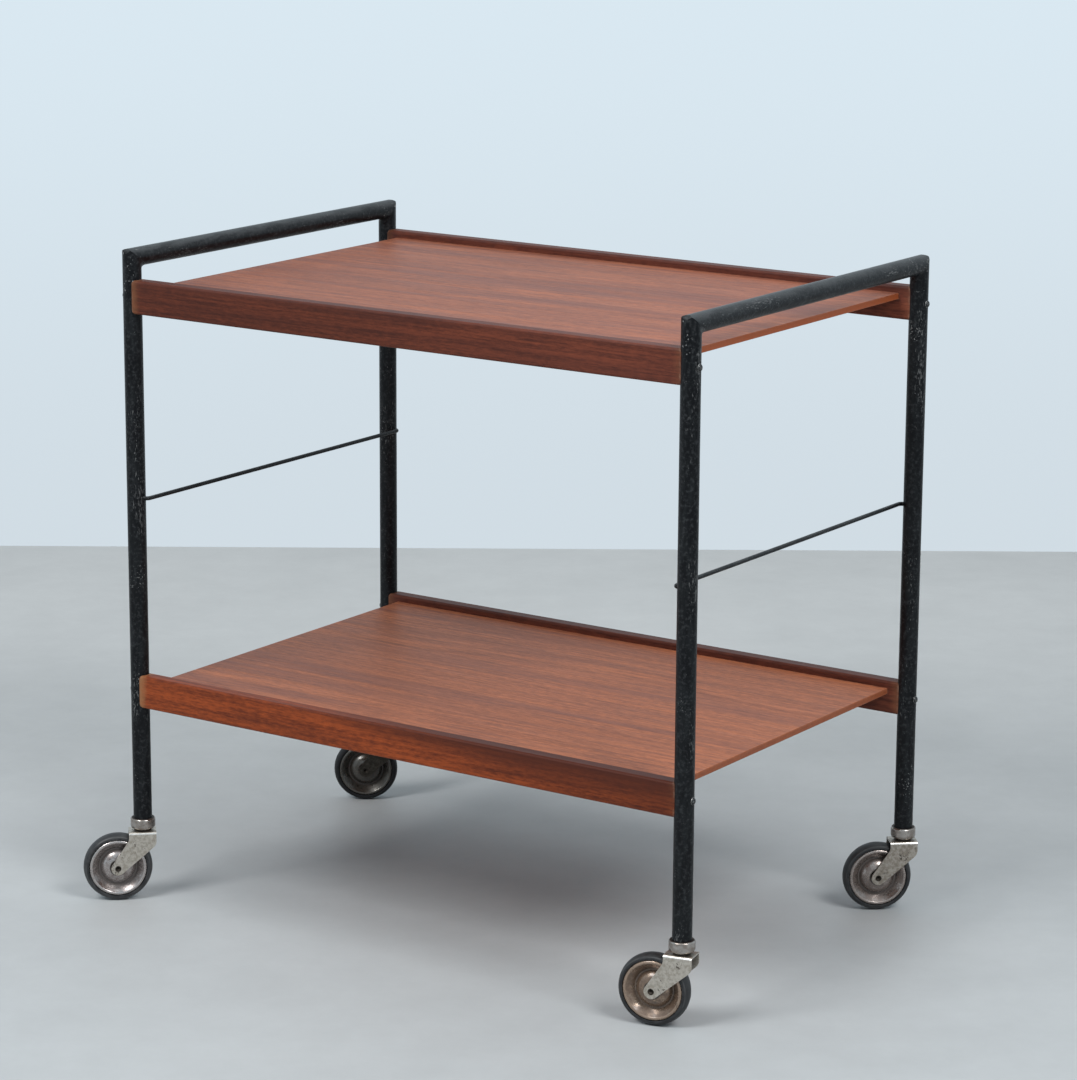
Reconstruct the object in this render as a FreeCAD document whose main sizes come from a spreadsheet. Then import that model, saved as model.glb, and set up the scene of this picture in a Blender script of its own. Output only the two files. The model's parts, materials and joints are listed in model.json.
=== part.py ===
"""A serving trolley: two welded tube end frames, two teak trays and four swivel casters.

The origin is on the floor, midway between the four posts. X runs along the trays, Y across them
and Z up. The front is at -Y. Lengths are in millimetres and angles in degrees.
"""
import FreeCAD, Part
import enum
import os
import re
import Sketcher

# Driving dimensions, one cell of the sheet each.
SIZES = {
    # End frames: round tube, mitred and welded at the top corners.
    "tube_diameter": 18,
    "tube_wall": 2,
    "mitre_round": 5,
    "post_spacing_long": 621,
    "post_spacing_wide": 403,
    "handle_height": 642,
    # Tie rods, bent at both ends and seated in the posts.
    "tie_rod_diameter": 4,
    "tie_rod_height": 402,
    "tie_rod_bend": 4.3,
    "tie_rod_seat": 5,
    # Tray rails, with coped ends and a stopped groove for the board.
    "rail_height": 32,
    "rail_thickness": 15.5,
    "rail_edge_round": 2.5,
    "rail_end_round": 4,
    "rail_end_setback": 4,
    "upper_rail_drop": 29.5,
    "lower_rail_top": 227.5,
    "cope_clearance": 0.15,
    # Tray boards.
    "board_thickness": 6,
    "board_drop": 7,
    "board_end_gap": 8.5,
    "board_edge_round": 0.8,
    "board_clearance": 0.1,
    "tongue_rebate": 1,
    "groove_depth": 5,
    # Dome-head screws through the posts into the rails' ends.
    "screw_diameter": 4,
    "screw_head_diameter": 7,
    "screw_head_height": 2.2,
    "screw_slot_width": 1,
    "screw_slot_depth": 0.9,
    "screw_grip": 28,
    "screw_tip": 5,
    "screw_seat_gap": 0.05,
    # Caster sockets: a collar below the post and a sleeve inside it.
    "collar_diameter": 24,
    "collar_height": 11,
    "collar_top_round": 1.8,
    "collar_foot_round": 3.2,
    "sleeve_length": 24,
    "sleeve_lead": 1,
    # Caster stems, grip rings and thrust washers.
    "stem_diameter": 8,
    "stem_tip": 1.5,
    "stem_groove_depth": 0.6,
    "rivet_diameter": 12,
    "rivet_height": 2.2,
    "grip_ring_section": 1.2,
    "washer_diameter": 16.5,
    "washer_thickness": 1.6,
    "washer_edge_round": 0.5,
    # Forks, bent from sheet.
    "fork_sheet": 1.8,
    "fork_bend": 1,
    "fork_plate_front": 14,
    "fork_plate_heel": 12.6,
    "fork_front_drop": 8,
    "fork_heel_drop": 13,
    "fork_front_round": 9,
    "fork_heel_round": 9,
    "fork_end_radius": 6.7,
    # Wheels.
    "wheel_diameter": 67,
    "wheel_trail": 25,
    "wheel_top_gap": 1,
    "tyre_width": 16.4,
    "disc_diameter": 56,
    "disc_bulge": 8,
    "disc_sheet": 1.2,
    "bush_diameter": 9,
    "bush_length": 17.6,
    "axle_diameter": 6,
    "axle_end_inset": 0.4,
    "axle_recess_diameter": 4.4,
    "axle_recess_depth": 2.5,
    # Fits: parts that are pressed or screwed, parts that turn, parts that only clear each other.
    "seat_clearance": 0.1,
    "running_clearance": 0.06,
    "swivel_gap": 0.3,
    "hub_side_gap": 0.3,
    "cut_overrun": 5,
}

# Angles at which the casters stand: the trail turns from -X towards -Y.
ANGLES = {
    "front_left_swivel_angle": 42,
    "front_right_swivel_angle": 13,
    "rear_left_swivel_angle": 36,
    "rear_right_swivel_angle": 40,
    "grip_ring_sweep": 320,
}

# Sizes that follow from the driving ones.
DERIVED = {
    "tube_radius": "tube_diameter / 2",
    "tube_bore": "tube_radius - tube_wall",
    "post_x": "post_spacing_long / 2",
    "post_y": "post_spacing_wide / 2",
    "handle_axis": "handle_height - tube_radius",
    "upper_rail_top": "handle_height - upper_rail_drop",
    "rod_radius": "tie_rod_diameter / 2",
    "rod_offset": "tube_radius + tie_rod_bend",
    "rail_half_length": "post_x - rail_end_setback",
    "rail_half_height": "rail_height / 2",
    "rail_half_thickness": "rail_thickness / 2",
    "cope_radius": "tube_radius + cope_clearance",
    "board_half_length": "post_x - tube_radius - board_end_gap",
    "board_half_width": "post_y - rail_half_thickness + groove_depth - board_clearance",
    "board_rise": "rail_half_height - board_drop - board_thickness / 2",
    "tongue_thickness": "board_thickness - tongue_rebate",
    "tongue_rise": "board_rise - tongue_rebate / 2",
    "tongue_shoulder": "post_y - rail_half_thickness - board_clearance",
    "screw_radius": "screw_diameter / 2",
    "screw_head_radius": "screw_head_diameter / 2",
    "screw_hole_radius": "screw_radius + seat_clearance",
    "screw_reach": "tube_radius + screw_grip",
    "screw_head_foot": "tube_radius + screw_seat_gap",
    "screw_dome_radius": "(screw_head_radius^2 + screw_head_height^2) / (2 * screw_head_height)",
    "wheel_radius": "wheel_diameter / 2",
    "plate_under": "wheel_diameter + wheel_top_gap",
    "plate_top": "plate_under + fork_sheet",
    "washer_top": "plate_top + washer_thickness",
    "collar_foot": "washer_top + swivel_gap",
    "post_foot": "collar_foot + collar_height",
    "sleeve_top": "post_foot + sleeve_length",
    "sleeve_radius": "tube_bore - seat_clearance",
    "collar_radius": "collar_diameter / 2",
    "stem_radius": "stem_diameter / 2",
    "stem_bore": "stem_radius + running_clearance",
    "groove_radius": "stem_radius - stem_groove_depth",
    "ring_foot": "sleeve_top + swivel_gap",
    "ring_radius": "groove_radius + running_clearance + grip_ring_section / 2",
    "groove_foot": "ring_foot - running_clearance",
    "groove_head": "ring_foot + grip_ring_section + running_clearance",
    "stem_top": "groove_head + 2 * stem_tip",
    "rivet_radius": "rivet_diameter / 2",
    "fork_inside": "bush_length / 2 + hub_side_gap",
    "fork_outside": "fork_inside + fork_sheet",
    "fork_outer_bend": "fork_bend + fork_sheet",
    "axle_radius": "axle_diameter / 2",
    "axle_half_length": "fork_outside - axle_end_inset",
    "axle_recess_radius": "axle_recess_diameter / 2",
    "bush_radius": "bush_diameter / 2",
    "disc_radius": "disc_diameter / 2",
    "disc_hole": "bush_radius + running_clearance",
    "tyre_half": "tyre_width / 2",
}

# Outline of a pressed wheel disc, from the hub to the rolled rim, as shares of its radius and of its
# bulge: flat hub, dome, valley where the two discs meet, slope, rolled bead.
HUB_SHARES = (0.27, 0.92)
DOME_SHARES = (0.46, 0.71)
VALLEY_SHARES = (0.62, 0.66)
SLOPE_SHARES = (0.87, 0.88)
BEAD_SHARES = (0.935, 1.0)
RIM_SHARE = 0.78
# Outline of the tyre: where its foot starts on the discs' slope, how far its sides stand out at the
# rim and half way, and where the side turns into the crown.
FOOT_SHARE = 0.6
SIDE_SHARES = (0.95, 0.93)
CROWN_SHARES = (0.8, 0.66)
HALF_SHARE = 0.5

# A quarter bend's middle lies this share of its radius inside the corner, along each side.
BEND_SHARE = "(1 - cos(45))"
# The middle of an eighth bend, beside and along the side that it starts from.
EIGHTH_SHARES = ("(1 - cos(22.5))", "(1 - sin(22.5))")

SIDES = {"left": -1, "right": 1}
ENDS = {"front": -1, "rear": 1}
TRAYS = ("upper", "lower")
TINY = 1e-4


class Point(enum.IntEnum):
    """How a sketch numbers the points of an edge."""
    START = 1
    FINISH = 2
    CENTRE = 3


class Axis(enum.IntEnum):
    """How a sketch numbers its own axes."""
    HORIZONTAL = -1
    VERTICAL = -2


ORIGIN_POINT = (Axis.HORIZONTAL, Point.START)
AXIS_LINES = {"DistanceX": Axis.VERTICAL, "DistanceY": Axis.HORIZONTAL}

doc = FreeCAD.newDocument("bar_cart")
sheet = doc.addObject("Spreadsheet::Sheet", "sizes")
for row, (alias, number) in enumerate({**SIZES, **ANGLES}.items(), start=1):
    sheet.set(f"A{row}", str(number))
    sheet.setAlias(f"A{row}", alias)
doc.recompute()
nodes = []


def in_sheet(text):
    """Write an expression in the sheet's own cells, with each derived size written out."""

    def cell(found):
        name = found.group()
        if name in DERIVED:
            return f"({in_sheet(DERIVED[name])})"
        return f"sizes.{name}" if name in SIZES or name in ANGLES else name

    return re.sub(r"[a-z_]+", cell, text)


def value(text):
    """The present value of an expression."""
    return float(sheet.evalExpression(in_sheet(text)))


def bind(thing, name, text):
    """Tie a property to an expression on the sheet."""
    thing.setExpression(name, in_sheet(text))


def new_body(label, x="0", y="0", z="0", turn="0"):
    """An empty body at a place, turned about Z."""
    body = doc.addObject("PartDesign::Body", label)
    body.Label = label
    upright = FreeCAD.Rotation(FreeCAD.Vector(0, 0, 1), value(turn))
    body.Placement = FreeCAD.Placement(FreeCAD.Vector(), upright)
    for name, text in (("Base.x", x), ("Base.y", y), ("Base.z", z), ("Rotation.Angle", turn)):
        if text != "0":
            bind(body, f"Placement.{name}", text)
    return body


def new_sketch(body, role, offset="0"):
    """A sketch on one of the body's own origin planes, or at a distance along its normal."""
    sketch = body.newObject("Sketcher::SketchObject", f"{body.Name}_sketch")
    planes = [feature for feature in body.Origin.OriginFeatures if feature.Role == role]
    sketch.AttachmentSupport = (planes[0], [""])
    sketch.MapMode = "FlatFace"
    if offset != "0":
        bind(sketch, "AttachmentOffset.Base.z", offset)
    return sketch


def fix_point(sketch, shape, end, x, y):
    """Hold one point of a sketch at bound coordinates."""
    for kind, text in (("DistanceX", x), ("DistanceY", y)):
        if text == "0":
            sketch.addConstraint(Sketcher.Constraint("PointOnObject", shape, end, AXIS_LINES[kind]))
        else:
            place = Sketcher.Constraint(kind, *ORIGIN_POINT, shape, end, value(text))
            bind(sketch, f"Constraints[{sketch.addConstraint(place)}]", text)


def spot(x, y):
    """A point of a sketch from two expressions."""
    return FreeCAD.Vector(value(x), value(y), 0)


def circle(sketch, radius, x="0", y="0"):
    """A circle with a bound radius and centre."""
    ring = sketch.addGeometry(Part.Circle(spot(x, y), FreeCAD.Vector(0, 0, 1), value(radius)))
    size = Sketcher.Constraint("Radius", ring, value(radius))
    bind(sketch, f"Constraints[{sketch.addConstraint(size)}]", radius)
    fix_point(sketch, ring, Point.CENTRE, x, y)


def outline(sketch, points, closed=True):
    """Join points in turn. A point with four entries is reached by an arc through its last two."""
    edges = []
    targets = points[1:] + (points[:1] if closed else [])
    for here, there in zip(points, targets):
        first = spot(*here[:2])
        if len(there) == 2:
            line = sketch.addGeometry(Part.LineSegment(first, spot(*there)))
            edges.append((line, Point.START, Point.FINISH))
            continue
        arc = sketch.addGeometry(Part.Arc(first, spot(*there[2:]), spot(*there[:2])))
        forward = sketch.getPoint(arc, Point.START).distanceToPoint(first) < TINY
        edges.append((arc, Point.START, Point.FINISH) if forward else (arc, Point.FINISH, Point.START))
        mark = sketch.addGeometry(Part.Point(spot(*there[2:])), True)
        sketch.addConstraint(Sketcher.Constraint("PointOnObject", mark, Point.START, arc))
        fix_point(sketch, mark, Point.START, *there[2:])
    for (edge, start, _), here in zip(edges, points):
        fix_point(sketch, edge, start, *here[:2])
    following = edges[1:] + (edges[:1] if closed else [])
    for (edge, _, finish), (after, start, _) in zip(edges, following):
        sketch.addConstraint(Sketcher.Constraint("Coincident", edge, finish, after, start))
    if not closed:
        fix_point(sketch, edges[-1][0], edges[-1][2], *points[-1][:2])


def feature(body, kind, profile):
    """A new feature of a body that uses a sketch."""
    made = body.newObject(f"PartDesign::{kind}", f"{body.Name}_{kind.lower()}")
    made.Profile = profile
    return made


def pad(body, profile, length, symmetric=True, reverse=False):
    """Add material along a sketch's normal, half to each side unless told otherwise."""
    made = feature(body, "Pad", profile)
    made.SideType = "Symmetric" if symmetric else "One side"
    made.Reversed = reverse
    bind(made, "Length", length)
    doc.recompute()
    return made


def pocket(body, profile, length, symmetric=True, reverse=False):
    """Cut material along a sketch's normal, half to each side unless told otherwise."""
    made = feature(body, "Pocket", profile)
    made.SideType = "Symmetric" if symmetric else "One side"
    made.Reversed = reverse
    bind(made, "Length", length)
    doc.recompute()
    return made


def revolve(body, profile, axis="V_Axis", sweep=None):
    """Turn a sketch about one of its own axes, all the way round unless a sweep is given."""
    made = feature(body, "Revolution", profile)
    made.ReferenceAxis = (profile, [axis])
    if sweep:
        bind(made, "Angle", sweep)
    doc.recompute()
    return made


def round_edges(body, base, radius, wanted):
    """Round the edges of a feature that pass a test."""
    names = [f"Edge{n}" for n, edge in enumerate(base.Shape.Edges, start=1) if wanted(edge)]
    made = body.newObject("PartDesign::Fillet", f"{body.Name}_round")
    made.Base = (base, names)
    bind(made, "Radius", radius)
    doc.recompute()
    return made


def at_coordinate(edge, axis, places):
    """True where a whole edge lies at one of these places along an axis."""
    return any(all(abs(getattr(point, axis) - place) < TINY for point in edge.Vertexes) for place in places)


def post(side, end):
    """A post: mitred at the top, drilled for two tray screws and for the tie rod's seat."""
    out_x = SIDES[side]
    out_y = ENDS[end]
    body = new_body(f"{side}_{end}_post", f"{out_x} * post_x", f"{out_y} * post_y")
    ring = new_sketch(body, "XY_Plane", "post_foot")
    circle(ring, "tube_radius")
    circle(ring, "tube_bore")
    pad(body, ring, "handle_height - post_foot", symmetric=False)
    beside, along = EIGHTH_SHARES
    far = "tube_radius + cut_overrun"
    mitre = new_sketch(body, "YZ_Plane")
    outline(mitre, [
        (f"{out_y} * ({far})", "handle_height - mitre_round"),
        (f"{out_y} * tube_radius", "handle_height - mitre_round"),
        (f"{out_y} * (tube_radius - mitre_round * {BEND_SHARE})",
         f"handle_height - mitre_round * {BEND_SHARE}",
         f"{out_y} * (tube_radius - mitre_round * {beside})",
         f"handle_height - mitre_round * {along}"),
        (f"{-out_y} * ({far})", f"handle_axis - ({far})"),
        (f"{-out_y} * ({far})", "handle_height + cut_overrun"),
        (f"{out_y} * ({far})", "handle_height + cut_overrun"),
    ])
    pocket(body, mitre, "tube_diameter + cut_overrun")
    holes = new_sketch(body, "YZ_Plane")
    for tray in TRAYS:
        circle(holes, "screw_hole_radius", "0", f"{tray}_rail_top - rail_half_height")
    pocket(body, holes, "tube_diameter + cut_overrun")
    seat = new_sketch(body, "YZ_Plane")
    circle(seat, "rod_radius + seat_clearance", "0", "tie_rod_height")
    pocket(body, seat, "tube_radius + cut_overrun", symmetric=False, reverse=out_x < 0)
    return body


def handle(side):
    """The top tube of an end frame, mitred to both posts."""
    body = new_body(f"{side}_handle", f"{SIDES[side]} * post_x", "0", "handle_axis")
    ring = new_sketch(body, "XZ_Plane")
    circle(ring, "tube_radius")
    circle(ring, "tube_bore")
    pad(body, ring, "post_spacing_wide + tube_diameter")
    beside, along = EIGHTH_SHARES
    mitres = new_sketch(body, "YZ_Plane")
    for out_y in ENDS.values():
        outline(mitres, [
            (f"{out_y} * (post_y - tube_radius - cut_overrun)", "-tube_radius - cut_overrun"),
            (f"{out_y} * (post_y + tube_radius - mitre_round * {BEND_SHARE})",
             f"tube_radius - mitre_round * {BEND_SHARE}"),
            (f"{out_y} * (post_y + tube_radius - mitre_round)", "tube_radius",
             f"{out_y} * (post_y + tube_radius - mitre_round * {along})",
             f"tube_radius - mitre_round * {beside}"),
            (f"{out_y} * (post_y + tube_radius - mitre_round)", "tube_radius + cut_overrun"),
            (f"{out_y} * (post_y + tube_radius + cut_overrun)", "tube_radius + cut_overrun"),
            (f"{out_y} * (post_y + tube_radius + cut_overrun)", "-tube_radius - cut_overrun"),
        ])
    pocket(body, mitres, "tube_diameter + cut_overrun")
    return body


def tie_rod(side):
    """A rod beside the posts, whose two bent ends sit in holes in the posts."""
    inward = -SIDES[side]
    body = new_body(f"{side}_tie_rod", f"{SIDES[side]} * post_x", "0", "tie_rod_height")
    seat = f"{inward} * (tube_radius - tie_rod_seat)"
    face = f"{inward} * tube_radius"
    run = f"{inward} * rod_offset"
    bend = f"{inward} * (tube_radius + tie_rod_bend * sin(45))"
    path = new_sketch(body, "XY_Plane")
    outline(path, [
        (seat, "-post_y"),
        (face, "-post_y"),
        (run, "-post_y + tie_rod_bend", bend, f"-post_y + tie_rod_bend * {BEND_SHARE}"),
        (run, "post_y - tie_rod_bend"),
        (face, "post_y", bend, f"post_y - tie_rod_bend * {BEND_SHARE}"),
        (seat, "post_y"),
    ], closed=False)
    section = new_sketch(body, "YZ_Plane", seat)
    circle(section, "rod_radius", "-post_y")
    doc.recompute()
    pipe = feature(body, "AdditivePipe", section)
    pipe.Spine = (path, [f"Edge{n}" for n in range(1, len(path.Shape.Edges) + 1)])
    doc.recompute()
    return body


def rail(tray, end):
    """A tray's long side: rounded bar, stopped groove, coped ends and pilot holes."""
    inward = -ENDS[end]
    body = new_body(f"{tray}_{end}_rail", "0", f"{ENDS[end]} * post_y",
                    f"{tray}_rail_top - rail_half_height")
    blank = new_sketch(body, "XZ_Plane")
    tip = "rail_half_length"
    knee = "rail_half_length - rail_end_round"
    bent = f"rail_half_length - rail_end_round * {BEND_SHARE}"
    brow = "rail_half_height - rail_end_round"
    top = "rail_half_height"
    curve = f"rail_half_height - rail_end_round * {BEND_SHARE}"
    outline(blank, [
        (f"-({knee})", top, f"-({bent})", curve),
        (knee, top),
        (tip, brow, bent, curve),
        (tip, f"-({brow})"),
        (knee, f"-{top}", bent, f"-({curve})"),
        (f"-({knee})", f"-{top}"),
        (f"-({tip})", f"-({brow})", f"-({bent})", f"-({curve})"),
        (f"-({tip})", brow),
    ])
    bar = pad(body, blank, "rail_thickness")
    faces = (value("rail_half_thickness"), -value("rail_half_thickness"))
    round_edges(body, bar, "rail_edge_round", lambda edge: at_coordinate(edge, "Y", faces))
    groove = new_sketch(body, "XY_Plane", "tongue_rise")
    floor = f"{inward} * (rail_half_thickness - groove_depth)"
    mouth = f"{inward} * (rail_half_thickness + cut_overrun)"
    stop = "board_half_length + board_clearance"
    outline(groove, [(f"-({stop})", floor), (stop, floor), (stop, mouth), (f"-({stop})", mouth)])
    pocket(body, groove, "tongue_thickness + 2 * board_clearance")
    copes = new_sketch(body, "XY_Plane")
    for out_x in SIDES.values():
        circle(copes, "cope_radius", f"{out_x} * post_x")
    pocket(body, copes, "rail_height + cut_overrun")
    for out_x in SIDES.values():
        pilot = new_sketch(body, "YZ_Plane", f"{out_x} * (post_x - screw_reach - seat_clearance)")
        circle(pilot, "screw_hole_radius")
        pocket(body, pilot, "screw_reach", symmetric=False, reverse=out_x > 0)
    return body


def board(tray):
    """A tray's board: the tongues of its long edges lie in the rails' grooves, its ends are bare."""
    body = new_body(f"{tray}_tray_board", "0", "0", f"{tray}_rail_top - rail_half_height + board_rise")
    plan = new_sketch(body, "XY_Plane")
    outline(plan, [
        ("-board_half_length", "-board_half_width"),
        ("board_half_length", "-board_half_width"),
        ("board_half_length", "board_half_width"),
        ("-board_half_length", "board_half_width"),
    ])
    sheet_of_teak = pad(body, plan, "board_thickness")
    ends = (value("board_half_length"), -value("board_half_length"))
    heights = (value("board_thickness / 2"), -value("board_thickness / 2"))
    round_edges(body, sheet_of_teak, "board_edge_round",
                lambda edge: at_coordinate(edge, "X", ends) and at_coordinate(edge, "Z", heights))
    rebates = new_sketch(body, "YZ_Plane")
    step = "board_thickness / 2 - tongue_rebate"
    above = "board_thickness / 2 + cut_overrun"
    for out_y in ENDS.values():
        shoulder = f"{out_y} * tongue_shoulder"
        beyond = f"{out_y} * (board_half_width + cut_overrun)"
        outline(rebates, [(shoulder, step), (beyond, step), (beyond, above), (shoulder, above)])
    pocket(body, rebates, "2 * board_half_length + cut_overrun")
    return body


def screw(tray, side, end):
    """A slotted dome-head screw through a post into a rail's end."""
    out_x = SIDES[side]
    body = new_body(f"{tray}_{end}_{side}_screw", f"{out_x} * post_x", f"{ENDS[end]} * post_y",
                    f"{tray}_rail_top - rail_half_height")
    profile = new_sketch(body, "XZ_Plane")
    middle = f"screw_head_radius * {HALF_SHARE}"
    swell = f"sqrt(screw_dome_radius^2 - ({middle})^2) - screw_dome_radius + screw_head_height"
    outline(profile, [
        (f"{-out_x} * screw_reach", "0"),
        (f"{-out_x} * (screw_reach - screw_tip)", "screw_radius"),
        (f"{out_x} * screw_head_foot", "screw_radius"),
        (f"{out_x} * screw_head_foot", "screw_head_radius"),
        (f"{out_x} * (screw_head_foot + screw_head_height)", "0",
         f"{out_x} * (screw_head_foot + {swell})", middle),
    ])
    revolve(body, profile, "H_Axis")
    slot = new_sketch(body, "XZ_Plane")
    depth = f"{out_x} * (screw_head_foot + screw_head_height - screw_slot_depth)"
    clear = f"{out_x} * (screw_head_foot + screw_head_height + cut_overrun)"
    half = "screw_slot_width / 2"
    outline(slot, [(depth, f"-{half}"), (clear, f"-{half}"), (clear, half), (depth, half)])
    pocket(body, slot, "screw_head_diameter + cut_overrun")
    return body


def screw_set(tray):
    """The four screws of a tray, kept together."""
    group = doc.addObject("Part::Compound", f"{tray}_tray_screws")
    group.Label = f"{tray}_tray_screws"
    group.Links = [screw(tray, side, end) for side in SIDES for end in ENDS]
    return group


def at_post(label, side, end, turn="0"):
    """A body on a post's axis, at floor level."""
    return new_body(label, f"{SIDES[side]} * post_x", f"{ENDS[end]} * post_y", "0", turn)


def at_wheel(label, side, end, turn):
    """A body at a wheel's centre, with its Y along the axle."""
    return new_body(label, f"{SIDES[side]} * post_x - wheel_trail * cos({turn})",
                    f"{ENDS[end]} * post_y - wheel_trail * sin({turn})", "wheel_radius", turn)


def socket(side, end):
    """A plated collar with a sleeve that fills the post's end and carries the stem."""
    body = at_post(f"{end}_{side}_caster_socket", side, end)
    profile = new_sketch(body, "XZ_Plane")
    outline(profile, [
        ("stem_bore", "collar_foot"),
        ("collar_radius - collar_foot_round", "collar_foot"),
        ("collar_radius", "collar_foot + collar_foot_round",
         f"collar_radius - collar_foot_round * {BEND_SHARE}",
         f"collar_foot + collar_foot_round * {BEND_SHARE}"),
        ("collar_radius", "post_foot - collar_top_round"),
        ("collar_radius - collar_top_round", "post_foot",
         f"collar_radius - collar_top_round * {BEND_SHARE}",
         f"post_foot - collar_top_round * {BEND_SHARE}"),
        ("sleeve_radius", "post_foot"),
        ("sleeve_radius", "sleeve_top - sleeve_lead"),
        ("sleeve_radius - sleeve_lead", "sleeve_top"),
        ("stem_bore", "sleeve_top"),
    ])
    revolve(body, profile)
    return body


def stem(side, end, turn):
    """The swivel pin: riveted under the fork's plate, grooved near the top for the grip ring."""
    body = at_post(f"{end}_{side}_caster_stem", side, end, turn)
    profile = new_sketch(body, "XZ_Plane")
    outline(profile, [
        ("0", "plate_under - rivet_height"),
        ("rivet_radius", "plate_under", "rivet_radius * cos(45)", "plate_under - rivet_height * sin(45)"),
        ("stem_radius", "plate_under"),
        ("stem_radius", "groove_foot"),
        ("groove_radius", "groove_foot"),
        ("groove_radius", "groove_head"),
        ("stem_radius", "groove_head"),
        ("stem_radius", "stem_top - stem_tip"),
        ("stem_radius - stem_tip", "stem_top"),
        ("0", "stem_top"),
    ])
    revolve(body, profile)
    return body


def grip_ring(side, end, turn):
    """A split spring ring in the stem's groove, just above the sleeve."""
    body = at_post(f"{end}_{side}_caster_grip_ring", side, end, turn)
    section = new_sketch(body, "XZ_Plane")
    circle(section, "grip_ring_section / 2", "ring_radius", "ring_foot + grip_ring_section / 2")
    revolve(body, section, sweep="grip_ring_sweep")
    return body


def washer(side, end, turn):
    """The thrust washer between the fork's plate and the collar."""
    body = at_post(f"{end}_{side}_caster_washer", side, end, turn)
    ring = new_sketch(body, "XY_Plane", "plate_top")
    circle(ring, "washer_diameter / 2")
    circle(ring, "stem_radius + seat_clearance")
    disc = pad(body, ring, "washer_thickness", symmetric=False)
    heights = (value("plate_top"), value("washer_top"))
    edge_radius = value("washer_diameter / 2")
    round_edges(body, disc, "washer_edge_round", lambda edge: at_coordinate(edge, "Z", heights)
                and abs(edge.Curve.Radius - edge_radius) < TINY)
    return body


def fork(side, end, turn):
    """A sheet channel cut to the outline of two raked legs, with a flat plate over the wheel."""
    body = at_post(f"{end}_{side}_caster_fork", side, end, turn)
    section = new_sketch(body, "YZ_Plane", "fork_plate_heel + cut_overrun")
    foot = "wheel_radius - fork_end_radius - cut_overrun"
    outer_y = f"fork_outside - fork_outer_bend * {BEND_SHARE}"
    outer_z = f"plate_top - fork_outer_bend * {BEND_SHARE}"
    inner_y = f"fork_inside - fork_bend * {BEND_SHARE}"
    inner_z = f"plate_under - fork_bend * {BEND_SHARE}"
    outline(section, [
        ("-fork_outside", foot),
        ("-fork_outside", "plate_top - fork_outer_bend"),
        ("-fork_outside + fork_outer_bend", "plate_top", f"-({outer_y})", outer_z),
        ("fork_outside - fork_outer_bend", "plate_top"),
        ("fork_outside", "plate_top - fork_outer_bend", outer_y, outer_z),
        ("fork_outside", foot),
        ("fork_inside", foot),
        ("fork_inside", "plate_under - fork_bend"),
        ("fork_inside - fork_bend", "plate_under", inner_y, inner_z),
        ("-fork_inside + fork_bend", "plate_under"),
        ("-fork_inside", "plate_under - fork_bend", f"-({inner_y})", inner_z),
        ("-fork_inside", foot),
    ])
    reach = "wheel_trail + fork_end_radius + cut_overrun"
    pad(body, section, f"fork_plate_heel + cut_overrun + {reach}", symmetric=False, reverse=True)
    legs = new_sketch(body, "XZ_Plane")
    beyond = "plate_top + cut_overrun"
    outline(legs, [
        (f"-2 * ({reach})", "-cut_overrun"),
        (f"2 * ({reach})", "-cut_overrun"),
        (f"2 * ({reach})", f"{beyond} + cut_overrun"),
        (f"-2 * ({reach})", f"{beyond} + cut_overrun"),
    ])
    leg_outline(legs, beyond)
    cut = pocket(body, legs, "2 * fork_outside + cut_overrun")
    knees = (("-fork_plate_front", "plate_top - fork_front_drop", "fork_front_round"),
             ("fork_plate_heel", "plate_top - fork_heel_drop", "fork_heel_round"))
    for x, z, radius in knees:
        place = (value(x), value(z))
        cut = round_edges(body, cut, radius, lambda edge: at_coordinate(edge, "X", place[:1])
                          and at_coordinate(edge, "Z", place[1:]))
    bore = new_sketch(body, "XY_Plane", "plate_under")
    circle(bore, "stem_radius + seat_clearance")
    pocket(body, bore, "2 * fork_sheet + cut_overrun")
    axle_hole = new_sketch(body, "XZ_Plane")
    circle(axle_hole, "axle_radius + running_clearance", "-wheel_trail", "wheel_radius")
    pocket(body, axle_hole, "2 * fork_outside + cut_overrun")
    return body


def leg_outline(sketch, top):
    """A leg seen from the side: two straight edges that run tangent into the round end."""
    corners = [("-fork_plate_front", "plate_top - fork_front_drop"), ("-fork_plate_front", top),
               ("fork_plate_heel", top), ("fork_plate_heel", "plate_top - fork_heel_drop")]
    sides = []
    for here, there in zip(corners, corners[1:]):
        sides.append(sketch.addGeometry(Part.LineSegment(spot(*here), spot(*there))))
        fix_point(sketch, sides[-1], Point.START, *here)
    for edge, after in zip(sides, sides[1:]):
        sketch.addConstraint(Sketcher.Constraint("Coincident", edge, Point.FINISH, after, Point.START))
    fix_point(sketch, sides[-1], Point.FINISH, *corners[-1])
    centre = spot("-wheel_trail", "wheel_radius")
    radius = value("fork_end_radius")
    front = centre + FreeCAD.Vector(-radius, 0, 0)
    under = centre + FreeCAD.Vector(0, -radius, 0)
    middle = centre + FreeCAD.Vector(-radius, -radius, 0).normalize() * radius
    arc = sketch.addGeometry(Part.Arc(front, middle, under))
    size = sketch.addConstraint(Sketcher.Constraint("Radius", arc, radius))
    bind(sketch, f"Constraints[{size}]", "fork_end_radius")
    fix_point(sketch, arc, Point.CENTRE, "-wheel_trail", "wheel_radius")
    ends = {True: Point.START, False: Point.FINISH}
    forward = sketch.getPoint(arc, Point.START).distanceToPoint(front) < TINY
    for point, corner, side, side_end in ((front, corners[0], sides[0], Point.START),
                                          (under, corners[-1], sides[-1], Point.FINISH)):
        edge = sketch.addGeometry(Part.LineSegment(spot(*corner), point))
        arc_end = ends[forward == (point is front)]
        sketch.addConstraint(Sketcher.Constraint("Coincident", edge, Point.START, side, side_end))
        sketch.addConstraint(Sketcher.Constraint("Tangent", edge, Point.FINISH, arc, arc_end))


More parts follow.
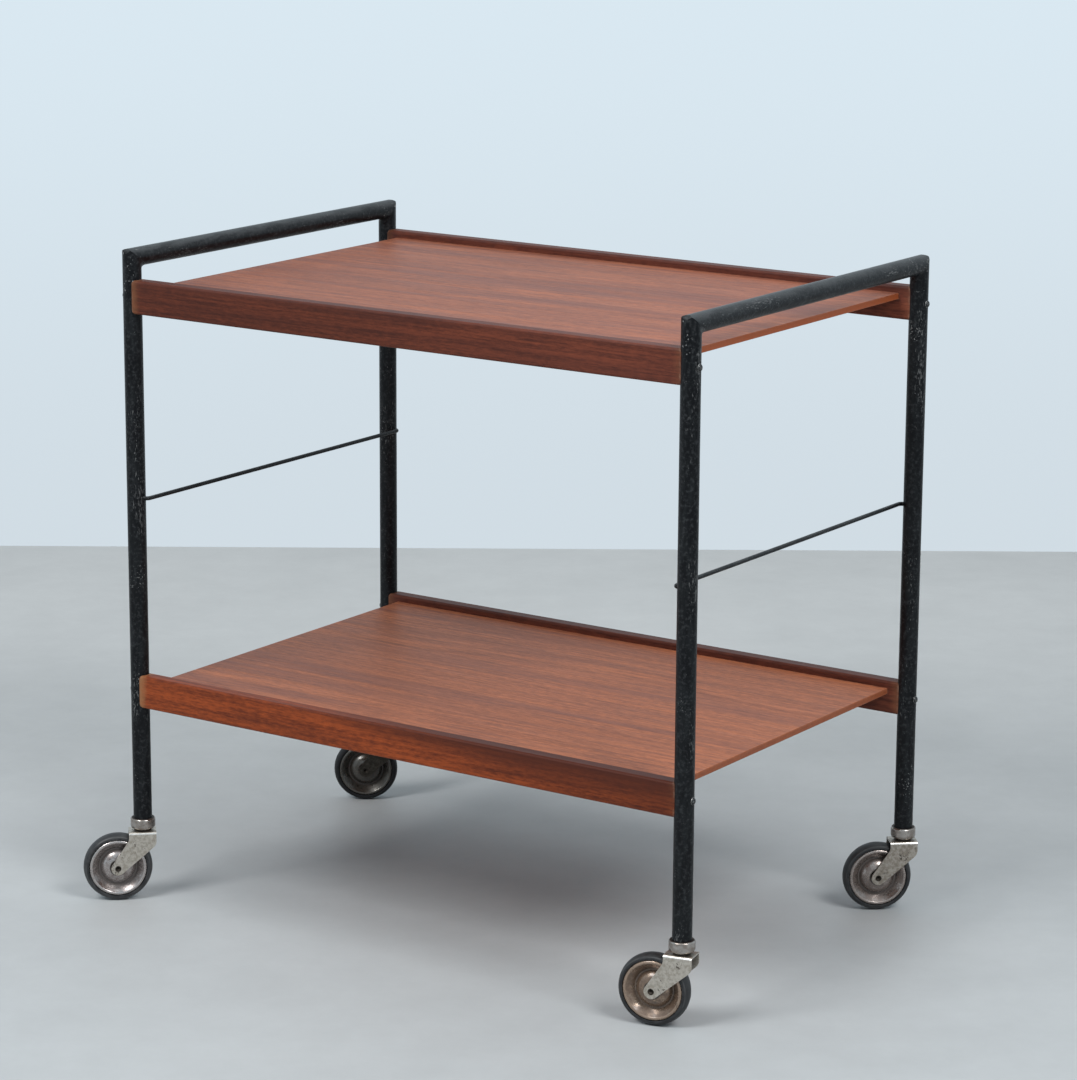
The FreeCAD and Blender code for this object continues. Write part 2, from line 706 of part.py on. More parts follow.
def axle(side, end, turn):
    """A tubular rivet through the fork's legs, with a recess in each end."""
    body = at_wheel(f"{end}_{side}_wheel_axle", side, end, turn)
    profile = new_sketch(body, "XY_Plane")
    pit = "axle_half_length - axle_recess_depth"
    outline(profile, [
        ("0", f"-({pit})"),
        ("axle_recess_radius", "-axle_half_length"),
        ("axle_radius", "-axle_half_length"),
        ("axle_radius", "axle_half_length"),
        ("axle_recess_radius", "axle_half_length"),
        ("0", pit),
    ])
    revolve(body, profile)
    return body


def bush(side, end, turn):
    """The hub bush, which turns on the axle."""
    body = at_wheel(f"{end}_{side}_wheel_bush", side, end, turn)
    ring = new_sketch(body, "XZ_Plane")
    circle(ring, "bush_radius")
    circle(ring, "axle_radius + running_clearance")
    pad(body, ring, "bush_length")
    return body


def disc_points(lower):
    """The face of a pressed disc from its hub to its rim, lowered by the sheet or not at all."""

    def place(radius_share, bulge_share):
        return (f"disc_radius * {radius_share}", f"disc_bulge * {bulge_share} - {lower}")

    hub = place(*HUB_SHARES)
    foot, valley = ((f"disc_radius * {share}", f"disc_sheet - {lower}") for share in VALLEY_SHARES)
    rim = ("disc_radius", f"disc_bulge * {RIM_SHARE} - {lower}")
    return [("disc_hole", hub[1]), hub, (*foot, *place(*DOME_SHARES)), valley, place(*SLOPE_SHARES),
            (*rim, *place(*BEAD_SHARES))]


def disc(name, side, end, turn, facing):
    """One of a wheel's two pressed discs, facing along the axle."""
    body = at_wheel(f"{end}_{side}_wheel_{name}_disc", side, end, turn)
    outer = disc_points("0")
    inner = disc_points("disc_sheet")
    back = []
    for here, before in zip(inner[::-1], [()] + inner[::-1]):
        back.append((*here[:2], *before[2:]))
    profile = new_sketch(body, "XY_Plane")
    outline(profile, [tuple(text if n % 2 == 0 else f"{facing} * ({text})" for n, text in enumerate(point))
                      for point in outer + back])
    revolve(body, profile)
    return body


def tyre(side, end, turn):
    """A rubber ring with a foot held between the discs and a rounded tread."""
    body = at_wheel(f"{end}_{side}_tyre", side, end, turn)
    valley = f"disc_radius * {VALLEY_SHARES[1]}"
    slope_run = f"(disc_radius * {SLOPE_SHARES[0]} - {valley})"
    slope_rise = f"(disc_bulge * {SLOPE_SHARES[1]} - disc_sheet)"
    foot = f"disc_bulge * {RIM_SHARE} - disc_sheet - hub_side_gap"
    rim = "disc_radius + hub_side_gap"
    depth = "(wheel_radius - disc_radius)"
    half_side = [
        (f"{valley} + {slope_run} * {FOOT_SHARE}", f"{slope_rise} * {FOOT_SHARE} - hub_side_gap"),
        (f"{valley} + {slope_run} * ({foot} + hub_side_gap) / {slope_rise}", foot),
        (rim, foot),
        (rim, f"tyre_half * {SIDE_SHARES[0]}"),
        (f"disc_radius + {depth} * {CROWN_SHARES[0]}", f"tyre_half * {CROWN_SHARES[1]}"),
    ]
    bulge = (f"disc_radius + {depth} * {HALF_SHARE}", f"tyre_half * {SIDE_SHARES[1]}")
    other_side = [(x, f"-({y})") for x, y in half_side[::-1]]
    half_side[-1] += bulge
    other_side[0] += ("wheel_radius", "0")
    other_side[1] += (bulge[0], f"-({bulge[1]})")
    profile = new_sketch(body, "XY_Plane")
    outline(profile, half_side + other_side)
    revolve(body, profile)
    return body


def caster(side, end):
    """A complete caster at the foot of one post."""
    turn = f"{end}_{side}_swivel_angle"
    made = [socket(side, end)]
    made += [make(side, end, turn) for make in (stem, grip_ring, washer, fork, axle, bush, tyre)]
    made += [disc("outer", side, end, turn, ENDS[end]), disc("inner", side, end, turn, -ENDS[end])]
    return made


for side in SIDES:
    nodes += [post(side, end) for end in ENDS]
    nodes += [handle(side), tie_rod(side)]
for tray in TRAYS:
    nodes += [rail(tray, end) for end in ENDS]
    nodes += [board(tray), screw_set(tray)]
for end in ENDS:
    for side in SIDES:
        nodes += caster(side, end)
doc.recompute()

# Nothing is written unless every object is sound and every cut has taken something away.
for thing in doc.Objects:
    if "Invalid" in thing.State or "Error" in thing.State:
        raise RuntimeError(f"{thing.Label} failed: {thing.State}")
    if thing.TypeId == "PartDesign::Pocket" and thing.Shape.Volume > thing.BaseFeature.Shape.Volume - TINY:
        raise RuntimeError(f"{thing.Label} cuts nothing")
for node in nodes:
    if node.Shape.isNull() or not node.Shape.isValid():
        raise RuntimeError(f"{node.Label} has no sound shape")
os.makedirs("parts", exist_ok=True)
for node in nodes:
    node.Shape.exportStep(f"parts/{node.Label}.step")
    print(f"{node.Label}: {len(node.Shape.Solids)} solid(s), {node.Shape.Volume:.1f} cubic mm")
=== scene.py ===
# %% [markdown]
# # A serving trolley in teak and black tube
# The real trolley is two end frames of round steel tube, painted black, with two shallow teak trays
# screwed between them and a plated caster under each post. The solids come measured from the frame, so
# this lesson dresses them and adds what a painter, a welder and sixty years of use have left on them.

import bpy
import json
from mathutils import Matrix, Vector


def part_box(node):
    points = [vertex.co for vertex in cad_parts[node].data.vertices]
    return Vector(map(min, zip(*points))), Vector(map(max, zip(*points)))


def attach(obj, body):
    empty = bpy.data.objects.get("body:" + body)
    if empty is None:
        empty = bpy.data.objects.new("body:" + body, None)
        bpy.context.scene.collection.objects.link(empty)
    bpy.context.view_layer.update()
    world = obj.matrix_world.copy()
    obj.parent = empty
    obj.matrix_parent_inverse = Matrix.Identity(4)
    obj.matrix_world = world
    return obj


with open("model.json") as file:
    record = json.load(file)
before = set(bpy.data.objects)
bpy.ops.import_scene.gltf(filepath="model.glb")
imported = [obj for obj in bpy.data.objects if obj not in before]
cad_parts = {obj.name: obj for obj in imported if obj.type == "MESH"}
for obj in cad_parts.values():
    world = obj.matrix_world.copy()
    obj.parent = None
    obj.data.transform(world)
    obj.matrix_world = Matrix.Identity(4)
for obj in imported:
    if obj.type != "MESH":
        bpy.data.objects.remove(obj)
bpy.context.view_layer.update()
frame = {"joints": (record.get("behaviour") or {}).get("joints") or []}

# %% [markdown]
# ## Where the photographer stood
# A long lens from a few metres away keeps the posts almost parallel. The camera could be aimed at a target
# by a constraint, but three plain angles are easier to compare with the picture. The lens is written in
# pixels of the picture, because that is what a measured photograph gives, and turned into millimetres.

# %% Set up the camera
import math
import bpy
from mathutils import Matrix, Vector

PICTURE_WIDTH = 1077
PICTURE_HEIGHT = 1080
LENS_PIXELS = 3700.0
AXIS_PIXEL_X = 536.1
AXIS_PIXEL_Y = 544.9
CAMERA_PLACE = Vector((1.9497, -2.8374, 1.1724))
CAMERA_YAW = math.radians(34.294)
CAMERA_PITCH = math.radians(13.291)
CAMERA_ROLL = math.radians(0.320)

camera_data = bpy.data.cameras.new("camera")
long_side = max(PICTURE_WIDTH, PICTURE_HEIGHT)
camera_data.lens = LENS_PIXELS * camera_data.sensor_width / long_side
camera_data.shift_x = (PICTURE_WIDTH / 2 - AXIS_PIXEL_X) / long_side
camera_data.shift_y = (AXIS_PIXEL_Y - PICTURE_HEIGHT / 2) / long_side
camera = bpy.data.objects.new("camera", camera_data)
turn = Matrix.Rotation(CAMERA_YAW, 4, "Z") @ Matrix.Rotation(math.pi / 2 - CAMERA_PITCH, 4, "X")
camera.matrix_world = Matrix.Translation(CAMERA_PLACE) @ turn @ Matrix.Rotation(CAMERA_ROLL, 4, "Z")
bpy.context.scene.collection.objects.link(camera)
bpy.context.scene.camera = camera
bpy.context.scene.view_settings.view_transform = "Standard"
print(f"lens {camera_data.lens:.1f} mm, {CAMERA_PLACE.length:.2f} m from the middle of the floor")

# %% [markdown]
# ## Helpers for building materials
# Every finish below is a small network of nodes. Placing nodes one by one takes many lines, so one helper
# adds a node, sets its options and fills its inputs, and a few more do the sums that come back often. Other
# helpers follow where they are first needed.

# %% Nodes and sums
def place(tree, kind, inputs=None, **settings):
    """Add a node, set its options and fill its inputs with values or with other nodes' outputs."""
    node = tree.nodes.new(f"ShaderNode{kind}")
    for name, setting in settings.items():
        setattr(node, name, setting)
    for name, given in (inputs or {}).items():
        if isinstance(given, bpy.types.NodeSocket):
            tree.links.new(given, node.inputs[name])
        else:
            node.inputs[name].default_value = given
    return node


def calculate(tree, operation, *terms):
    """The result of one sum with numbers."""
    return place(tree, "Math", dict(enumerate(terms)), operation=operation).outputs[0]


def fade(tree, amount, start, end):
    """Rise smoothly from 0 to 1 while an amount goes from start to end."""
    values = {"Value": amount, "From Min": start, "From Max": end}
    return place(tree, "MapRange", values, interpolation_type="SMOOTHSTEP").outputs[0]


def mix_colours(tree, share, first, second):
    """A colour between two, by a share from 0 to 1."""
    return place(tree, "Mix", {0: share, 6: first, 7: second}, data_type="RGBA").outputs[2]


def shade(tree, colour, amount):
    """A colour made darker or paler by an amount."""
    return place(tree, "VectorMath", {0: colour, "Scale": amount}, operation="SCALE").outputs[0]


print("helpers for nodes and sums are ready")

# %% Coordinates and noise
def on_piece(tree):
    """Coordinates that belong to the piece, in metres, and move with it."""
    return place(tree, "TexCoord").outputs["Object"]


def split(tree, vector):
    """The X, Y and Z of a vector."""
    return place(tree, "SeparateXYZ", {0: vector}).outputs


def noise(tree, where, scale, detail=3.0, roughness=0.5):
    """Soft random values about 0.5, in lumps of about one over the scale in metres."""
    values = {"Vector": where, "Scale": scale, "Detail": detail, "Roughness": roughness}
    return place(tree, "TexNoise", values).outputs[0]


print("helpers for coordinates and noise are ready")

# %% Materials
def new_material(name, **fixed):
    """A material with a Principled BSDF, whose plain values go straight onto the shader's own sockets."""
    material = bpy.data.materials.new(name)
    material.use_nodes = True
    tree = material.node_tree
    shader = tree.nodes["Principled BSDF"]
    for label, number in fixed.items():
        shader.inputs[label.replace("_", " ").title().replace("Ior", "IOR")].default_value = number
    return material, tree, shader.inputs


def dress(material, *names):
    """Give a material to frame nodes or to new pieces."""
    for name in names:
        piece = bpy.data.objects[name]
        if not piece.material_slots:
            piece.data.materials.append(material)
        for slot in piece.material_slots:
            slot.material = material
    print(f"{material.name}: {len(names)} pieces")


print("helpers for materials are ready")

# %% [markdown]
# ## Floor and daylight
# The trolley stands on a plain pale floor in soft light. A studio could be built from walls and a ceiling,
# but two large lamps, left and right of the camera, and a weak one overhead give the same two soft
# highlights on every round piece and the same shadow under the tray. The world is pale blue-grey for what
# the camera and the shiny pieces see, and dimmer for what it lights, so that black paint stays black.

# %% Floor
FLOOR_NEAR_COLOUR = (0.49, 0.515, 0.525, 1)
FLOOR_FAR_PAINTED_LIGHT = (0.66, 0.67, 0.665, 1)
FLOOR_DEPTH = 4.94
FLOOR_PAINTED_LIGHT_START = 3.0
FLOOR_BEHIND_CAMERA = 6.0
FLOOR_HALF_WIDTH = 5.0
FLOOR_DARKEST = 0.78
FLOOR_SPREAD = 0.44

floor_mesh = bpy.data.meshes.new("floor")
corners = [(-FLOOR_HALF_WIDTH, -FLOOR_BEHIND_CAMERA, 0), (FLOOR_HALF_WIDTH, -FLOOR_BEHIND_CAMERA, 0),
           (FLOOR_HALF_WIDTH, FLOOR_DEPTH, 0), (-FLOOR_HALF_WIDTH, FLOOR_DEPTH, 0)]
floor_mesh.from_pydata(corners, [], [range(len(corners))])
floor = bpy.data.objects.new("floor", floor_mesh)
floor.location = (CAMERA_PLACE.x, CAMERA_PLACE.y, 0)
floor.rotation_euler.z = CAMERA_YAW
bpy.context.scene.collection.objects.link(floor)
floor_paint, tree, shader = new_material("pale_floor", roughness=0.55)
where = on_piece(tree)
# Painted light: the floor is painted paler towards the back, where the lamps' light falls off.
far = fade(tree, split(tree, where)["Y"], FLOOR_PAINTED_LIGHT_START, FLOOR_DEPTH)
pale = mix_colours(tree, far, FLOOR_NEAR_COLOUR, FLOOR_FAR_PAINTED_LIGHT)
cloudy = noise(tree, where, 2.2)
mottled = noise(tree, where, 14.0, detail=9.0, roughness=0.72)
uneven = calculate(tree, "MULTIPLY_ADD", cloudy, 0.5, calculate(tree, "MULTIPLY", mottled, 0.5))
brightness = calculate(tree, "MULTIPLY_ADD", uneven, FLOOR_SPREAD, FLOOR_DARKEST)
tree.links.new(shade(tree, pale, brightness), shader["Base Color"])
dress(floor_paint, "floor")

# %% Lamps
LAMPS = {
    "ceiling_lamp": {"place": (0.1, 0.3, 3.0), "width": 2.4, "power": 16},
    "left_lamp": {"place": (-0.6, -2.4, 2.7), "width": 1.3, "power": 66},
    "right_lamp": {"place": (2.5, -0.8, 2.7), "width": 1.3, "power": 60},
}
LAMP_TARGET = Vector((0, 0, 0.25))

for name, lamp in LAMPS.items():
    light = bpy.data.lights.new(name, "AREA")
    light.size = lamp["width"]
    light.energy = lamp["power"]
    holder = bpy.data.objects.new(name, light)
    holder.location = lamp["place"]
    holder.rotation_euler = (LAMP_TARGET - holder.location).to_track_quat("-Z", "Y").to_euler()
    bpy.context.scene.collection.objects.link(holder)
print(f"{len(LAMPS)} lamps, {sum(lamp['power'] for lamp in LAMPS.values())} W together")

# %% World
WALL_LOW = (0.636, 0.716, 0.775, 1)
WALL_HIGH = (0.70, 0.81, 0.885, 1)
WALL_LOW_SLOPE = -0.24
WALL_HIGH_SLOPE = -0.07
WORLD_LIGHT = 0.32

world = bpy.data.worlds.new("daylight")
bpy.context.scene.world = world
world.use_nodes = True
tree = world.node_tree
slope = split(tree, place(tree, "TexCoord").outputs["Generated"])["Z"]
wall = mix_colours(tree, fade(tree, slope, WALL_LOW_SLOPE, WALL_HIGH_SLOPE), WALL_LOW, WALL_HIGH)
rays = place(tree, "LightPath").outputs
seen = calculate(tree, "MAXIMUM", rays["Is Camera Ray"], rays["Is Glossy Ray"])
seen = calculate(tree, "MAXIMUM", seen, rays["Is Transmission Ray"])
strength = calculate(tree, "MAXIMUM", seen, WORLD_LIGHT)
tree.links.new(wall, tree.nodes["Background"].inputs["Color"])
tree.links.new(strength, tree.nodes["Background"].inputs["Strength"])
print(f"world: {world.name}, {WORLD_LIGHT} of its brightness lights the trolley")

# %% [markdown]
# ## Effects that several finishes share
# Wear shows first on edges, chips lie in clusters, old plating goes blotchy, and what is turned or rolled
# wears in rings. Each could be painted by hand, but as node groups with named inputs they work on any piece
# and at any scale, and each finish places them with its own values. Their outputs are only masks and
# values; the shaders stay in the materials.

# %% Groups and sums with vectors
def new_group(name, inputs, outputs):
    """A node group with named sockets. Returns the group, its inside inputs and its inside outputs."""
    kinds = {3: "NodeSocketVector", 4: "NodeSocketColor"}
    tree = bpy.data.node_groups.new(name, "ShaderNodeTree")
    for label, start in inputs.items():
        kind = kinds[len(start)] if hasattr(start, "__len__") else "NodeSocketFloat"
        tree.interface.new_socket(label, in_out="INPUT", socket_type=kind).default_value = start
    for label, kind in outputs.items():
        tree.interface.new_socket(label, in_out="OUTPUT", socket_type=f"NodeSocket{kind}")
    return tree, tree.nodes.new("NodeGroupInput").outputs, tree.nodes.new("NodeGroupOutput").inputs


def calculate_vector(tree, operation, *terms):
    """One sum with vectors. Its outputs are Vector and Value."""
    return place(tree, "VectorMath", dict(enumerate(terms)), operation=operation).outputs


print("helpers for groups are ready")

# %% Edge wear
edge_wear, given, made = new_group(
    "edge wear", {"Radius": 0.002, "Start": 0.02, "Full": 0.15}, {"Mask": "Float"})
rounded = place(edge_wear, "Bevel", {"Radius": given["Radius"]}, samples=6).outputs[0]
surface = place(edge_wear, "NewGeometry").outputs["Normal"]
likeness = calculate_vector(edge_wear, "DOT_PRODUCT", rounded, surface)["Value"]
bend = calculate(edge_wear, "SUBTRACT", 1.0, likeness)
edge_wear.links.new(fade(edge_wear, bend, given["Start"], given["Full"]), made["Mask"])
print("group:", edge_wear.name)

# %% Chips
CHIP_LEVEL = 0.82
CROWD_DROP = -0.3
CHIP_EDGE = 0.05

chips, given, made = new_group(
    "chips", {"Vector": (0, 0, 0), "Scale": 300.0, "Cluster": 14.0, "Amount": 0.5}, {"Mask": "Float"})
spots = noise(chips, given["Vector"], given["Scale"], detail=2.0, roughness=0.6)
crowd = fade(chips, noise(chips, given["Vector"], given["Cluster"], detail=2.0), 0.42, 0.72)
crowd = calculate(chips, "MULTIPLY", crowd, given["Amount"])
threshold = calculate(chips, "MULTIPLY_ADD", crowd, CROWD_DROP, CHIP_LEVEL)
limit = calculate(chips, "ADD", threshold, CHIP_EDGE)
chips.links.new(fade(chips, spots, threshold, limit), made["Mask"])
print("group:", chips.name)

# %% Blotches
BLOTCH_LEVEL = 0.7
COVER_DROP = -0.4
BLOTCH_EDGE = 0.12

blotches, given, made = new_group(
    "blotches", {"Vector": (0, 0, 0), "Scale": 60.0, "Cover": 0.5}, {"Mask": "Float"})
broad = noise(blotches, given["Vector"], given["Scale"], detail=5.0, roughness=0.65)
level = calculate(blotches, "MULTIPLY_ADD", given["Cover"], COVER_DROP, BLOTCH_LEVEL)
start = calculate(blotches, "SUBTRACT", level, BLOTCH_EDGE)
end = calculate(blotches, "ADD", level, BLOTCH_EDGE)
blotches.links.new(fade(blotches, broad, start, end), made["Mask"])
print("group:", blotches.name)

# %% Distance from an axle
from_axle, given, made = new_group(
    "from axle", {"Vector": (0, 0, 0), "Centre": (0, 0, 0), "Axle": (0, 1, 0)},
    {"Radius": "Float", "Lines": "Float"})
arm = calculate_vector(from_axle, "SUBTRACT", given["Vector"], given["Centre"])[0]
turned = calculate_vector(from_axle, "CROSS_PRODUCT", arm, given["Axle"])[0]
radius = calculate_vector(from_axle, "LENGTH", turned)["Value"]
fine = {"W": radius, "Scale": 900.0, "Detail": 3.0, "Roughness": 0.6}
lines = place(from_axle, "TexNoise", fine, noise_dimensions="1D").outputs[0]
from_axle.links.new(radius, made["Radius"])
from_axle.links.new(lines, made["Lines"])
print("group:", from_axle.name)

# %% [markdown]
# ## Teak
# The boards are thin and the rails are solid bars, both oiled teak with the grain along the tray. A wave
# texture gives rings that look turned on a lathe, so the growth rings here are one-dimensional noise read
# along the distance from the heart of the tree: uneven years, bent a little along the length. Long streaks,
# flecks and short dashes lie over them, then broad dark bands and the pores. The same group serves boards
# and rails with different hearts and tones.

# %% Noise drawn out along the grain
def stretch(tree, where, scale, shift=(0, 0, 0)):
    """Coordinates scaled by axis, so that what is drawn on them runs long in one direction."""
    return place(tree, "Mapping", {"Vector": where, "Scale": scale, "Location": shift}).outputs[0]


def drawn_noise(tree, where, scale, detail=3.0, roughness=0.5, shift=(0, 0, 0)):
    """Noise with a scale of its own along each axis."""
    return noise(tree, stretch(tree, where, scale, shift), 1.0, detail, roughness)


print("helpers for grain are ready")

# %% Growth rings
RING_BEND = 0.05

grain, given, made = new_group("teak grain", {
    "Vector": (0, 0, 0), "Heart": (0, 0, -0.4), "Ring scale": 160.0, "Light": (0.40, 0.145, 0.075, 1),
    "Dark": (0.21, 0.07, 0.045, 1), "Deep": (0.17, 0.062, 0.05, 1),
}, {"Color": "Color", "Roughness": "Float", "Height": "Float"})
where = given["Vector"]
from_heart = calculate_vector(grain, "SUBTRACT", where, given["Heart"])[0]
cross = calculate_vector(grain, "MULTIPLY", from_heart, (0, 1, 1))[0]
distance = calculate_vector(grain, "LENGTH", cross)["Value"]
bent = drawn_noise(grain, where, (2.2, 9, 9), detail=2.0)
ring_place = calculate(grain, "MULTIPLY_ADD", bent, RING_BEND, distance)
uneven = {"W": ring_place, "Scale": given["Ring scale"], "Detail": 4.0, "Roughness": 0.7}
years = place(grain, "TexNoise", uneven, noise_dimensions="1D").outputs[0]
print(f"{grain.name}: {len(grain.nodes)} nodes for the growth rings")

# %% Streaks, flecks, dashes, bands and pores
BAND_STRENGTH = 0.5
PORE_STRENGTH = 0.35

streaks = drawn_noise(grain, where, (4.5, 150, 150), detail=5.0, roughness=0.68)
flecks = drawn_noise(grain, where, (9, 300, 300), detail=4.0, roughness=0.7, shift=(0.4, 0.9, 0.1))
dashes = drawn_noise(grain, where, (110, 480, 480), detail=3.0, roughness=0.7, shift=(0.2, 0.5, 0.8))
bands = drawn_noise(grain, where, (1.5, 34, 34), detail=3.0, roughness=0.55, shift=(3.1, 0.7, 0.2))
pores = fade(grain, drawn_noise(grain, where, (90, 1500, 1500), detail=2.0), 0.58, 0.70)
figure = calculate(grain, "MULTIPLY", streaks, 0.24)
for layer, share in ((years, 0.22), (flecks, 0.44), (dashes, 0.40)):
    figure = calculate(grain, "MULTIPLY_ADD", layer, share, figure)
toned = mix_colours(grain, fade(grain, figure, 0.48, 0.82), given["Dark"], given["Light"])
darker = calculate(grain, "MULTIPLY", fade(grain, bands, 0.42, 0.70), BAND_STRENGTH)
toned = mix_colours(grain, darker, toned, given["Deep"])
toned = mix_colours(grain, calculate(grain, "MULTIPLY", pores, PORE_STRENGTH), toned, given["Deep"])
grain.links.new(toned, made["Color"])
grain.links.new(calculate(grain, "MULTIPLY_ADD", streaks, 0.25, 0.36), made["Roughness"])
height = calculate(grain, "SUBTRACT", calculate(grain, "MULTIPLY", streaks, 0.4), pores)
grain.links.new(height, made["Height"])
print(f"{grain.name}: {len(grain.nodes)} nodes in all")

# %% [markdown]
# ## Boards and rails
# Hands and years leave their mark in three places: the edges are rubbed paler, the bare ends of the bars
# and boards show their end grain, and grime darkens the tops of the rails, on the lower front one deeper
# towards the right. One teak for all would look like printed foil, so each board and rail has its own heart
# of the tree and its own tones. Ends and tops come from the boxes of the solids, so the marks stay where
# they belong whatever the view.

# %% Tones of each board and rail, in pairs for the left and the right where they differ
END_GRAIN = (0.33, 0.155, 0.070, 1)
NO_GRIME = {"grime": (0.0, 0.0), "grime_depth": (0.013, 0.013)}
BOARDS = {
    # On the upper board the drift, darker towards its left end, is painted light: it stands in for the
    # sheen, which is weaker there.
    "upper_tray_board": {
        "heart": (0, 0.06, -0.35), "drift": (0.90, 1.04), "bare": (1.0, 1.0), "gloss": 0.22,
        "light": (0.415, 0.140, 0.070, 1), "dark": (0.160, 0.051, 0.031, 1),
        "deep": (0.148, 0.056, 0.047, 1), "end": (0.40, 0.098, 0.033, 1), **NO_GRIME},
    "lower_tray_board": {
        "heart": (0, -0.05, -0.30), "drift": (1.0, 1.0), "bare": (0.7, 0.7), "gloss": 0.18,
        "light": (0.54, 0.186, 0.084, 1), "dark": (0.215, 0.070, 0.038, 1),
        "deep": (0.180, 0.069, 0.053, 1), "end": (0.27, 0.073, 0.029, 1), **NO_GRIME},
}
RAILS = {
    "upper_front_rail": {
        "heart": (0, -0.16, 0.50), "drift": (0.85, 1.28), "bare": (0.30, 0.10), "gloss": 0.15,
        "light": (0.215, 0.054, 0.027, 1), "dark": (0.068, 0.019, 0.012, 1),
        "deep": (0.050, 0.017, 0.014, 1), "end": END_GRAIN,
        "grime": (0.45, 0.45), "grime_depth": (0.013, 0.013)},
    "upper_rear_rail": {
        "heart": (0, 0.30, 0.50), "drift": (0.95, 1.10), "bare": (0.15, 0.06), "gloss": 0.15,
        "light": (0.205, 0.056, 0.030, 1), "dark": (0.064, 0.018, 0.012, 1),
        "deep": (0.048, 0.016, 0.014, 1), "end": END_GRAIN,
        "grime": (0.45, 0.45), "grime_depth": (0.013, 0.013)},
    "lower_front_rail": {
        "heart": (0, -0.27, 0.14), "drift": (1.06, 0.86), "bare": (0.85, 0.05), "gloss": 0.15,
        "light": (0.390, 0.080, 0.021, 1), "dark": (0.098, 0.021, 0.010, 1),
        "deep": (0.068, 0.018, 0.011, 1), "end": END_GRAIN,
        "grime": (0.35, 0.90), "grime_depth": (0.009, 0.027)},
    "lower_rear_rail": {
        "heart": (0, 0.12, 0.10), "drift": (1.0, 1.0), "bare": (0.20, 0.20), "gloss": 0.15,
        "light": (0.220, 0.060, 0.032, 1), "dark": (0.068, 0.019, 0.013, 1),
        "deep": (0.048, 0.016, 0.013, 1), "end": END_GRAIN,
        "grime": (0.50, 0.50), "grime_depth": (0.013, 0.013)},
}
print(f"tones for {len(BOARDS)} boards and {len(RAILS)} rails")

# %% Grime and bare ends
GRIME_START = -0.16
GRIME_END = 0.12
GRIME_RISE = 0.006
GRIME_WAVER = 0.012


def mix_values(tree, share, first, second):
    """A number between two, by a share from 0 to 1."""
    return place(tree, "Mix", {0: share, 2: first, 3: second}).outputs[0]


def top_grime(tree, where, along, top, wood):
    """Where grime lies on the top of a rail, from the left to the right of it."""
    further = fade(tree, along, GRIME_START, GRIME_END)
    smeared = drawn_noise(tree, where, (14, 60, 60))
    height = calculate(tree, "MULTIPLY_ADD", smeared, GRIME_WAVER, split(tree, where)["Z"])
    depth = mix_values(tree, further, *wood["grime_depth"])
    foot = calculate(tree, "SUBTRACT", top + GRIME_RISE, depth)
    amount = mix_values(tree, further, *wood["grime"])
    return calculate(tree, "MULTIPLY", fade(tree, height, foot, top + GRIME_RISE), amount)


def bare_ends(tree, along, lumps, tip, end_depth, wood):
    """Where the end grain shows, with a ragged border."""
    reach = calculate(tree, "ABSOLUTE", along)
    ragged = calculate(tree, "MULTIPLY_ADD", lumps, end_depth, reach)
    ends = fade(tree, ragged, tip - end_depth * 0.6, tip + end_depth * 0.4)
    on_right = calculate(tree, "GREATER_THAN", along, 0.0)
    return calculate(tree, "MULTIPLY", ends, mix_values(tree, on_right, *wood["bare"]))


print(f"grime changes from {GRIME_START} to {GRIME_END} m along a rail")

# %% Oiled boards and rails
DRIFT_START = -0.10
DRIFT_END = 0.30
BOARD_RINGS = 150.0
BOARD_WORN = (0.40, 0.17, 0.10, 1)
BOARD_END_DEPTH = 0.0006
RAIL_RINGS = 260.0
RAIL_WORN = (0.25, 0.14, 0.095, 1)
RAIL_END_DEPTH = 0.010


def mask(tree, group, **values):
    """Place a shared effect with its own values, and take its mask."""
    return place(tree, "Group", values, node_tree=group).outputs["Mask"]


def emboss(tree, shader, height, strength, distance):
    """Raise and hollow the surface by a height."""
    bump = place(tree, "Bump", {"Height": height, "Strength": strength, "Distance": distance})
    tree.links.new(bump.outputs[0], shader["Normal"])


def teak(name, wood, rings, worn, end_depth):
    """Oiled teak with its own heart of the tree, grimy on top, paler on rubbed edges and on bare ends."""
    material, tree, shader = new_material(f"teak_{name}", specular_ior_level=wood["gloss"])
    where = on_piece(tree)
    along = split(tree, where)["X"]
    tip, _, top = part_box(name)[1]
    values = {"Vector": where, "Heart": wood["heart"], "Ring scale": rings,
              "Light": wood["light"], "Dark": wood["dark"], "Deep": wood["deep"]}
    figure = place(tree, "Group", values, node_tree=grain).outputs
    drift = mix_values(tree, fade(tree, along, DRIFT_START, DRIFT_END), *wood["drift"])
    toned = shade(tree, figure["Color"], drift)
    toned = mix_colours(tree, top_grime(tree, where, along, top, wood), toned, wood["deep"])
    lumps = noise(tree, where, 160.0, detail=4.0, roughness=0.6)
    toned = mix_colours(tree, bare_ends(tree, along, lumps, tip, end_depth, wood), toned, wood["end"])
    edges = mask(tree, edge_wear, Radius=0.003)
    rubbed = calculate(tree, "MULTIPLY", edges, fade(tree, lumps, 0.35, 0.7))
    tree.links.new(mix_colours(tree, rubbed, toned, worn), shader["Base Color"])
    tree.links.new(figure["Roughness"], shader["Roughness"])
    emboss(tree, shader, figure["Height"], strength=0.3, distance=0.0001)
    dress(material, name)


for name, wood in BOARDS.items():
    teak(name, wood, BOARD_RINGS, BOARD_WORN, BOARD_END_DEPTH)
for name, wood in RAILS.items():
    teak(name, wood, RAIL_RINGS, RAIL_WORN, RAIL_END_DEPTH)

